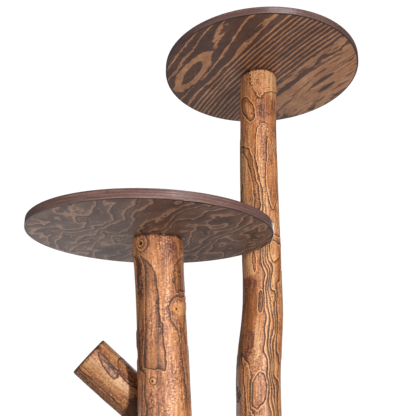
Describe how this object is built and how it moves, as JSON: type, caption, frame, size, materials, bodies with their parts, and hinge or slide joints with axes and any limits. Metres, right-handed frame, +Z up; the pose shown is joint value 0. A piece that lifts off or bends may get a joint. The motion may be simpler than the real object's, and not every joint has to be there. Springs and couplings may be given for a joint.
{
  "type": "cat tree",
  "caption": "Cat tree with two round plywood perches at different heights on peeled log posts, a leaning log brace and a round base board on rubber feet.",
  "frame": {"origin": "middle of the base board's footprint, on the floor under the middle foot", "axes": "+Z up, +X level from the low perch's centre towards the high perch's centre, +Y level and away from the side shown in the picture"},
  "size_m": [0.8569, 0.7, 1.258],
  "materials": {
    "board_wood": "dark brown stain under a satin clear coat",
    "low_post_wood": "peeled log, brown stain rubbed back over the ridges, matt",
    "high_post_wood": "peeled log, brown stain rubbed back over the ridges, matt",
    "brace_wood": "peeled log, brown stain rubbed back over the ridges, matt",
    "dowel_wood": "bare beech",
    "plug_wood": "stained brown to match the log",
    "foot_rubber": "matt black",
    "screw_steel": "yellow zinc plate",
    "zinc_steel": "bright zinc plate"
  },
  "bodies": {
    "root": {"base_board": "board_wood", "rubber_feet": "foot_rubber", "foot_screws": "zinc_steel", "lower_post": "low_post_wood", "upper_post": "high_post_wood", "brace_log": "brace_wood", "lower_platform": "board_wood", "upper_platform": "board_wood", "lower_platform_screws": "screw_steel", "upper_platform_screws": "screw_steel", "lower_platform_dowel": "dowel_wood", "upper_platform_dowel": "dowel_wood", "lower_base_dowel": "dowel_wood", "upper_base_dowel": "dowel_wood", "lower_base_screws": "zinc_steel", "upper_base_screws": "zinc_steel", "brace_base_screws": "zinc_steel", "base_washers": "zinc_steel", "lower_cross_screw": "zinc_steel", "upper_cross_screw": "zinc_steel", "cross_washers": "zinc_steel", "lower_cross_plug": "plug_wood", "upper_cross_plug": "plug_wood"}
  },
  "joints": []
}
